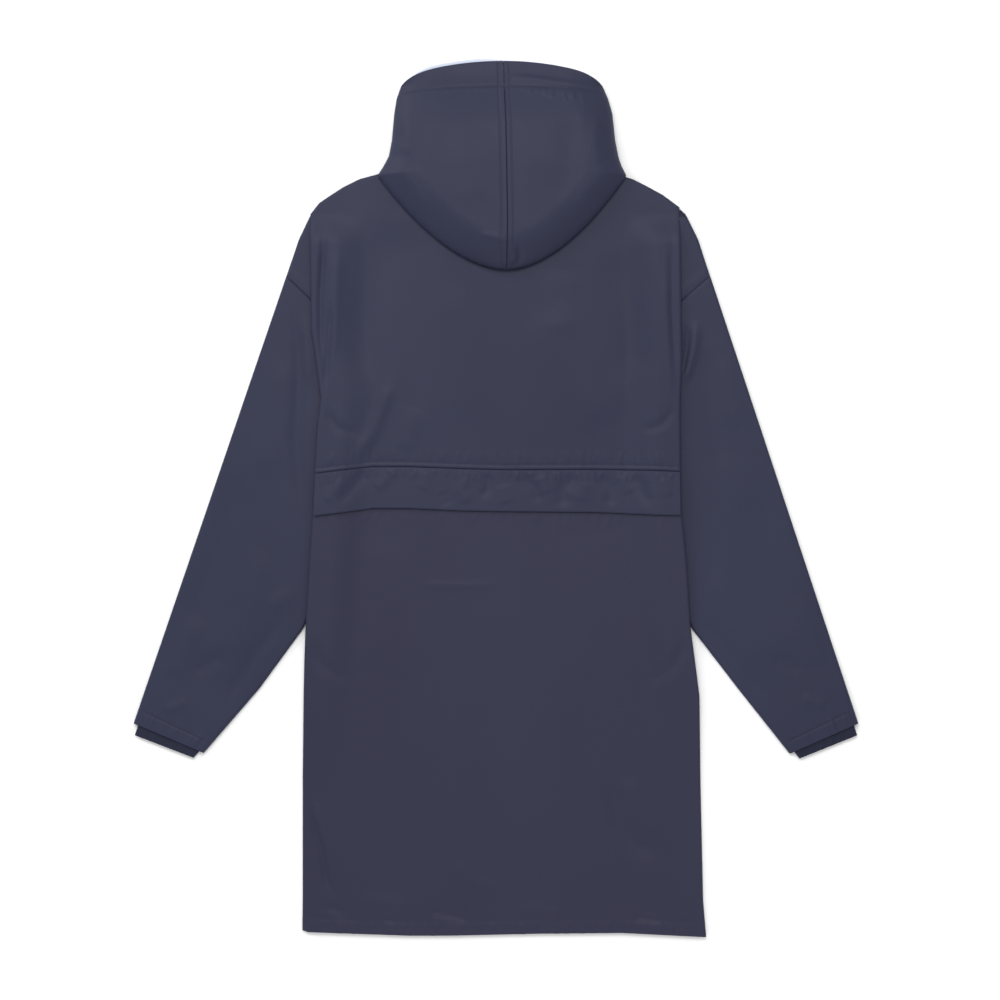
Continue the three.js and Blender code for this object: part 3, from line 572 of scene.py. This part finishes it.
def make_front(key):
    side = SLEEVES[key]["side"]
    levels = [420, 414, 404, 391, 370, 350, 325, 296, 290, 270, 249, 215, 185, 150, 129]
    levels = [*np.interp(np.linspace(0, 14, 60), range(15), levels), *np.linspace(124, -536, 110)]
    grid = []
    for level in [*levels, *(-536 - np.linspace(4, 28, 7))]:
        share = float(smooth((-536 - level) / 28))
        turn = EDGE_TURN * front_turn(level)
        inside, height = strip_places(turn, 4)
        armhole = SEAM * 1.6 if turn == 0 else CLOTH / 2
        wide = read(FRONT_SIDES, "y", key, level) if level > 129 else read(BODY_SIDES, "y", key, level)
        edge = wide - armhole
        if level > NECK_LEVEL:
            neck = NECK_HALF + (level - NECK_LEVEL) * 0.95
        else:
            rise = float(smooth((level - NECK_LEVEL + NECK_FALL) / NECK_FALL))
            neck = mix(SEAM, NECK_HALF, rise)
        x = np.concatenate([np.linspace(neck, edge - inside[0], 52), edge - inside[1:]])
        drop = np.concatenate([np.zeros(52), height[1:]])
        bottom = read(HEM, "x", "y", side * x) + 1
        y = np.where(level < -536, mix(level, bottom, share), level)
        grid.append(np.stack([side * x, y, front_height(side * x, y) + drop], -1))
    return np.array(grid)


# ---- sleeves ----
# places along a sleeve, closer together at its hem
SLEEVE_SHARES = np.concatenate([np.linspace(0, 0.9, 120), np.linspace(0.903, 1, 42)])


def sleeve_row(key, share):
    plan = SLEEVES[key]
    shoulder, cuff = np.array(plan["shoulder"], float), np.array(plan["cuff_outer"], float)
    outer = mix(shoulder, cuff, share)
    places = np.append(UNDERARM["share"], 1)
    wide = np.append(UNDERARM[key], plan["cuff_inner"][0])
    high = np.append(UNDERARM["y"], plan["cuff_inner"][1])
    inner = np.array([np.interp(share, places, wide), np.interp(share, places, high)])
    if share > 1:
        last = places[-2]
        part = (share - last) / (1 - last)
        inner = np.array([mix(wide[-2], wide[-1], part), mix(high[-2], high[-1], part)])
    bend = max(0.0, 1 - share * 2.2) ** 2
    start = np.array([UNDERARM[key][0], UNDERARM["y"][0]])
    pull = np.array(plan["turn"], float) - mix(start, shoulder, TURN_SHARE)
    return inner, mix(inner, outer, TURN_SHARE) + pull * bend, outer


def across_row(row, share, inset=0.0):
    inner, corner, outer = row
    first = share < TURN_SHARE
    a, b = (inner, corner) if first else (corner, outer)
    part = share / TURN_SHARE if first else (share - TURN_SHARE) / (1 - TURN_SHARE)
    along = (b - a) / np.linalg.norm(b - a)
    return mix(a, b, part) + along * inset


def flat_ring(row, low, high, inset, tops, unders, rolls):
    """Points round a flattened tube, with a 1 where the point is on its upper side."""
    radius, middle = (high - low) / 2, (high + low) / 2
    ring = []

    def ends(share):
        return (inset + radius) * (max(0.0, 1 - share * 10) - max(0.0, share * 10 - 9))

    for share in np.linspace(0, 1, tops):
        ring.append((*across_row(row, share, ends(share)), high, min(1.0, 6 * share, 6 * (1 - share))))
    turns = np.linspace(math.pi / 2, -math.pi / 2, rolls + 2)[1:-1]
    for turn in turns:
        spot = across_row(row, 1.0, -inset - radius * (1 - math.cos(turn)))
        ring.append((*spot, middle + radius * math.sin(turn), 0))
    for share in np.linspace(1, 0, unders):
        ring.append((*across_row(row, share, ends(share)), low, 0))
    for turn in turns[::-1]:
        spot = across_row(row, 0.0, inset + radius * (1 - math.cos(turn)))
        ring.append((*spot, middle + radius * math.sin(turn), 0))
    return np.array(ring)


def make_sleeve(key):
    plan = SLEEVES[key]
    draw = random.Random(21 if key == "left" else 22)
    puckers = [(draw.uniform(0.04, 0.96), draw.uniform(0.3, 1.0)) for _ in range(17)]
    grid = []
    for share in SLEEVE_SHARES:
        row = sleeve_row(key, share)
        high = mix(BACK_MID, CUFF_LAID - CLOTH / 2, float(smooth((share - 0.8) / 0.14)))
        ring = flat_ring(row, FRONT_MID, high, CLOTH / 2, UPPER_COLUMNS, 26, 7)
        x, y, z, upper = ring.T
        relief = crease_height(deeper(SLEEVE_FOLDS[key], 1.7), x, y)
        relief = relief * min(1.0, max(0.0, (share - 0.02) * 12))
        from_hem = (1 - share) * SLEEVE_LENGTH
        across = np.linspace(0, 1, UPPER_COLUMNS)
        ruche = sum(size * np.exp(-(((across - place) / 0.02) ** 2)) for place, size in puckers)
        rim = np.exp(-((from_hem - 12) / 11) ** 2)
        cuff = groove(from_hem - SLEEVE_STITCH, 0.7, 1.6) + 0.9 * rim * ruche
        cuff_all = np.concatenate([cuff, np.zeros(len(x) - UPPER_COLUMNS)])
        z = z + (relief + cuff_all) * upper
        grid.append(np.stack([plan["side"] * x, y, z], -1))
    return np.array(grid)


def make_cuff(key):
    plan = SLEEVES[key]
    clear = CLOTH + LAYER_GAP + CUFF_CLOTH / 2
    shares = np.linspace(1 - CUFF_HIDDEN / SLEEVE_LENGTH, 1 + CUFF_PROUD / SLEEVE_LENGTH, 26)
    grid = []
    for share in shares:
        ring = flat_ring(sleeve_row(key, share), clear, CUFF_LAID - clear, clear + 4, 150, 40, 7)
        x, y, z, upper = ring.T
        rib = 0.35 * np.sin(np.arange(len(x)) * 2 * math.pi / 6)
        rib = rib + 0.3 * np.sin(np.arange(len(x)) * 0.31 + 1)
        z = z + np.where(upper > 0, rib * smooth(upper), 0)
        grid.append(np.stack([plan["side"] * x, y, z], -1))
    return np.array(grid)


# ---- hood ----
def hood_plan(across, down):
    across, down = np.broadcast_arrays(np.asarray(across, float), np.asarray(down, float))
    y0 = read(HOOD_SIDES, "share", "y", down)
    left = read(HOOD_SIDES, "share", "left", down)
    right = read(HOOD_SIDES, "share", "right", down)
    size = np.abs(across)
    middle = mix(HOOD_TOP, HOOD_BOTTOM, down)
    shape = mix(0.67 * size ** 2 + 0.33 * size ** 10, size ** 1.83, down)
    drift = mix(HOOD_SEAM_X / 3, HOOD_SEAM_X, down) * (1 - size)
    return mix(left, right, (across + 1) / 2) + drift, mix(middle, y0, shape)


def hood_outline():
    down = np.linspace(0, 1, 41)
    left, right = hood_plan(-1, down), hood_plan(1, down[::-1])
    fold = hood_plan(np.linspace(-1, 1, 121)[1:-1], 1)
    return [np.concatenate(parts) for parts in zip(left, fold, right)]


OUTLINE_X, OUTLINE_Y = hood_outline()


def outline_distance(x, y):
    nearest = np.full(np.shape(x), np.inf)
    for ax, ay, bx, by in zip(OUTLINE_X, OUTLINE_Y, OUTLINE_X[1:], OUTLINE_Y[1:]):
        ux, uy = bx - ax, by - ay
        share = np.clip(((x - ax) * ux + (y - ay) * uy) / (ux * ux + uy * uy), 0, 1)
        nearest = np.minimum(nearest, np.hypot(x - ax - share * ux, y - ay - share * uy))
    return nearest


def hood_height(x, y):
    base = mix(LAID + LAYER_GAP, LAYER_GAP, smooth((y - 428) / 125))
    share = np.clip(outline_distance(x, y) / HOOD_ROUND, 0, 1)
    rim = mix(HOOD_RIM_SHARE, 1, smooth((HOOD_TOP - y) / 90))
    crown = HOOD_CROWN * smooth(share) * (1 - (x / 165) ** 2)
    return base + 0.3 + (HOOD_LOFT * np.sqrt(1 - (1 - share) ** 2) + crown) * rim


HOOD_RELIEF = (
    deeper(HOOD_FOLDS, 1.3)
    + gathers(36, 138, 15, 31, lambda x: 534 - (x / 60) ** 2 * 2.4, 15, 2.4, 0.9, 0.2)
    + gathers(-112, 0, 11, 32, lambda x: 534 - (x / 60) ** 2 * 2.4, 10, 2.4, 0.45, 0.2)
)
RIM_STITCH = 33 / (HOOD_TOP - HOOD_BOTTOM)


def make_hood(side):
    down = np.concatenate([np.linspace(0, 0.2, 34), np.linspace(0.205, 0.9, 66), np.linspace(0.905, 1, 20)])
    size = np.concatenate([np.linspace(0, 0.1, 14), np.linspace(0.11, 0.9, 74), np.linspace(0.905, 1, 18)])
    down_grid, size_grid = np.meshgrid(down, size, indexing="ij")
    across = side * size_grid * (1 - CLOTH / 2 / 150)
    x, y = hood_plan(across, down_grid * (1 - CLOTH / 2 / 130))
    x = x + side * (1 - size_grid) * SEAM / 2
    share = np.clip(outline_distance(x, y) / 12, 0, 1)
    relief = crease_height(HOOD_RELIEF, x, y)
    relief += groove((down_grid - RIM_STITCH) * 271, 0.7)
    from_seam = size_grid * 146
    lap = 0.8 if side < 0 else -0.1
    relief += lap * np.exp(-((from_seam / 6.5) ** 4)) + groove(from_seam - HOOD_STITCH, 0.6, 1.3)
    z = hood_height(x, y) + relief * smooth(share)
    return np.stack([x, y, z], -1)


def make_lining():
    across = np.linspace(-0.86, 0.86, 150)
    rim_x, rim_y = hood_plan(across, 0)
    proud = 0.8 + 3.2 * smooth((0.1 - across) / 0.4) * smooth((across + 0.92) / 0.2)
    inner_x, inner_y = hood_plan(across * 0.97, LINING_DEPTH / 240)
    grid = []
    for depth in np.linspace(0, 1, 14):
        x = mix(rim_x, inner_x, depth)
        y = mix(rim_y + proud, inner_y, depth)
        under = hood_height(x, np.minimum(y, rim_y))
        gap = CLOTH / 2 + LINING_CLOTH / 2 + LAYER_GAP + 0.4
        grid.append(np.stack([x, y, under - gap], -1))
    return np.array(grid)


# ---- stitches ----
def stitch_mesh(name, lines, length=2.6, pitch=3.9, width=0.55):
    """Short raised threads along lines of (x, y, z) points, as one mesh."""
    vertices, faces = [], []
    for line in lines:
        line = np.asarray(line)
        steps = np.linalg.norm(np.diff(line, axis=0), axis=1)
        travelled = np.concatenate([[0], np.cumsum(steps)])
        for start in np.arange(pitch, travelled[-1] - pitch, pitch):
            ends = [[np.interp(start + reach, travelled, line[:, k]) for k in range(3)]
                    for reach in (0, length / 2, length)]
            a, middle, b = map(np.array, ends)
            along = (b - a) / np.linalg.norm(b - a)
            aside = np.cross(along, (0, 0, 1)) * width / 2
            lift = np.array([0, 0, width])
            base = len(vertices)
            for point, size in ((a, 0.45), (middle, 1.0), (b, 0.45)):
                vertices += [point - aside * size, point + lift * size, point + aside * size,
                             point - lift * 0.6]
            for k in (0, 4):
                for i in range(4):
                    j = (i + 1) % 4
                    faces.append((base + k + i, base + k + j, base + k + 4 + j, base + k + 4 + i))
            faces.append((base + 3, base + 2, base + 1, base))
            faces.append((base + 8, base + 9, base + 10, base + 11))
    return mesh_object(name, vertices, faces)


def offset_line(x, y, height):
    return np.stack([x, y, height(x, y) + CLOTH / 2 - 0.1], -1)


def body_stitches():
    x = np.linspace(-231, 235, 470)
    lines = [offset_line(x, read(WAIST, "x", "seam", x) + WAIST_STITCH, upper_height)]
    x = np.linspace(-246, 267, 520)
    lines.append(offset_line(x, read(HEM, "x", "y", x) + HEM_STITCH, skirt_height))
    return lines


def hood_stitches(grids):
    lines = []
    for side, grid in zip((-1, 1), grids):
        rows = np.arange(4, len(grid) - 6)
        seam = np.array([[np.interp(HOOD_STITCH, np.abs(grid[j, :, 0] - grid[j, 0, 0]), grid[j, :, k])
                          for k in range(3)] for j in rows])
        lines.append(seam + (0, 0, CLOTH / 2 - 0.1))
        share = RIM_STITCH / (1 - CLOTH / 2 / 130)
        near = np.linspace(0, 0.2, 34)
        j = int(np.argmin(np.abs(near - share)))
        lines.append(grid[j, 6:-14] + (0, 0, CLOTH / 2 - 0.1))
    return lines


def sleeve_stitches(grids):
    lines = []
    for grid in grids:
        j = int(np.argmin(np.abs((1 - SLEEVE_SHARES) * SLEEVE_LENGTH - SLEEVE_STITCH)))
        lines.append(grid[j, 4:100] + (0, 0, CLOTH / 2 - 0.1))
    return lines


# ---- the garment ----
def build():
    upper, skirt, band = make_upper(), make_skirt(), make_band()
    tabs = {key: make_tab(key) for key in SLEEVES}
    hoods = {key: make_hood(SLEEVES[key]["side"]) for key in SLEEVES}
    sleeves = {key: make_sleeve(key) for key in SLEEVES}

    back = cloth_wall("upper_back", upper)
    lay_sheet(back, "back_upper", SHELL)
    for key, grid in tabs.items():
        tab = cloth_wall(f"shoulder_end_{key}", grid)
        lay_sheet(tab, None, SHELL)
    lower = cloth_wall("skirt_back", skirt)
    lay_sheet(lower, "back_skirt", SHELL_PAINTED_SHEEN_TINT)
    strip = cloth_wall("storm_band", band, BAND_CLOTH)
    lay_sheet(strip, "back_waist_band", SHELL)

    for key in SLEEVES:
        grid = make_front(key)
        panel = cloth_wall(f"front_panel_{key}", grid)
        lay_sheet(panel, f"front_{key}", SHELL_PAINTED_SHEEN_TINT)
        grid = sleeves[key]
        arm = cloth_wall(f"sleeve_{key}_cloth", grid, ring=True)
        lay_sheet(arm, f"sleeve_{key}", SHELL)
        grid = make_cuff(key)
        cuff = cloth_wall(f"storm_cuff_{key}_cloth", grid, CUFF_CLOTH, ring=True)
        lay_sheet(cuff, f"storm_cuff_{key}", CUFF)
        grid = hoods[key]
        half = cloth_wall(f"hood_half_{key}", grid)
        lay_sheet(half, f"hood_{key}", SHELL)

    grid = make_lining()
    lining = cloth_wall("hood_facing", grid, LINING_CLOTH)
    lay_sheet(lining, "hood_lining", FACING)

    lines = body_stitches() + hood_stitches(list(hoods.values())) + sleeve_stitches(list(sleeves.values()))
    thread = stitch_mesh("topstitching", lines)
    thread.data.materials.append(THREAD)
    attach(thread, "root")


def keep_cad():
    for name, material in (("front_placket", SHELL_PAINTED_SHEEN_TINT), ("hood_inside", SHELL)):
        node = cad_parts[name]
        for slot in node.material_slots:
            slot.material = material


# ---- stage ----
FIELD = 1.3            # metres across the view
LENS, SENSOR = 100, 36


def make_camera():
    camera = bpy.data.cameras.new("camera")
    camera.lens = LENS
    camera.sensor_width = SENSOR
    holder = bpy.data.objects.new("camera", camera)
    holder.location = (0.0052, -0.0013, FIELD * LENS / SENSOR)
    bpy.context.scene.collection.objects.link(holder)
    bpy.context.scene.camera = holder


def make_floor():
    material, nodes, links, shader = new_material("pale_floor")
    place = nodes.new("ShaderNodeTexCoord").outputs["Object"]
    tone = noise(nodes, links, place, 3, 2)
    links.new(ramp(nodes, links, tone, [(0.3, (0.9, 0.9, 0.9)), (0.7, (0.92, 0.92, 0.92))]),
              shader.inputs["Base Color"])
    shader.inputs["Roughness"].default_value = 0.9
    size = 4000
    floor = mesh_object("floor", [(-size, -size, -0.2), (size, -size, -0.2), (size, size, -0.2),
                                  (-size, size, -0.2)], [(0, 1, 2, 3)])
    floor.data.materials.append(material)


def area_light(name, place, turn, size, power):
    light = bpy.data.lights.new(name, "AREA")
    light.shape = "RECTANGLE"
    light.size, light.size_y = size
    light.energy = power
    holder = bpy.data.objects.new(name, light)
    holder.location = place
    holder.rotation_euler = turn
    bpy.context.scene.collection.objects.link(holder)


def make_lights():
    world = bpy.data.worlds.new("studio")
    world.use_nodes = True
    world.node_tree.nodes["Background"].inputs["Color"].default_value = (1, 1, 1, 1)
    world.node_tree.nodes["Background"].inputs["Strength"].default_value = 0.72
    bpy.context.scene.world = world
    area_light("over", (-0.2, 1.5, 3.3), (math.radians(-22), 0, 0), (2.0, 1.4), 62)
    area_light("key", (-2.2, 1.9, 1.5), (math.radians(-48), math.radians(-48), 0), (1.2, 1.2), 34)
    area_light("fill", (0.2, -2.6, 1.5), (math.radians(60), 0, 0), (1.6, 1.0), 16)
    bpy.context.scene.view_settings.view_transform = "Standard"


make_camera()
make_floor()
make_lights()
build()
keep_cad()
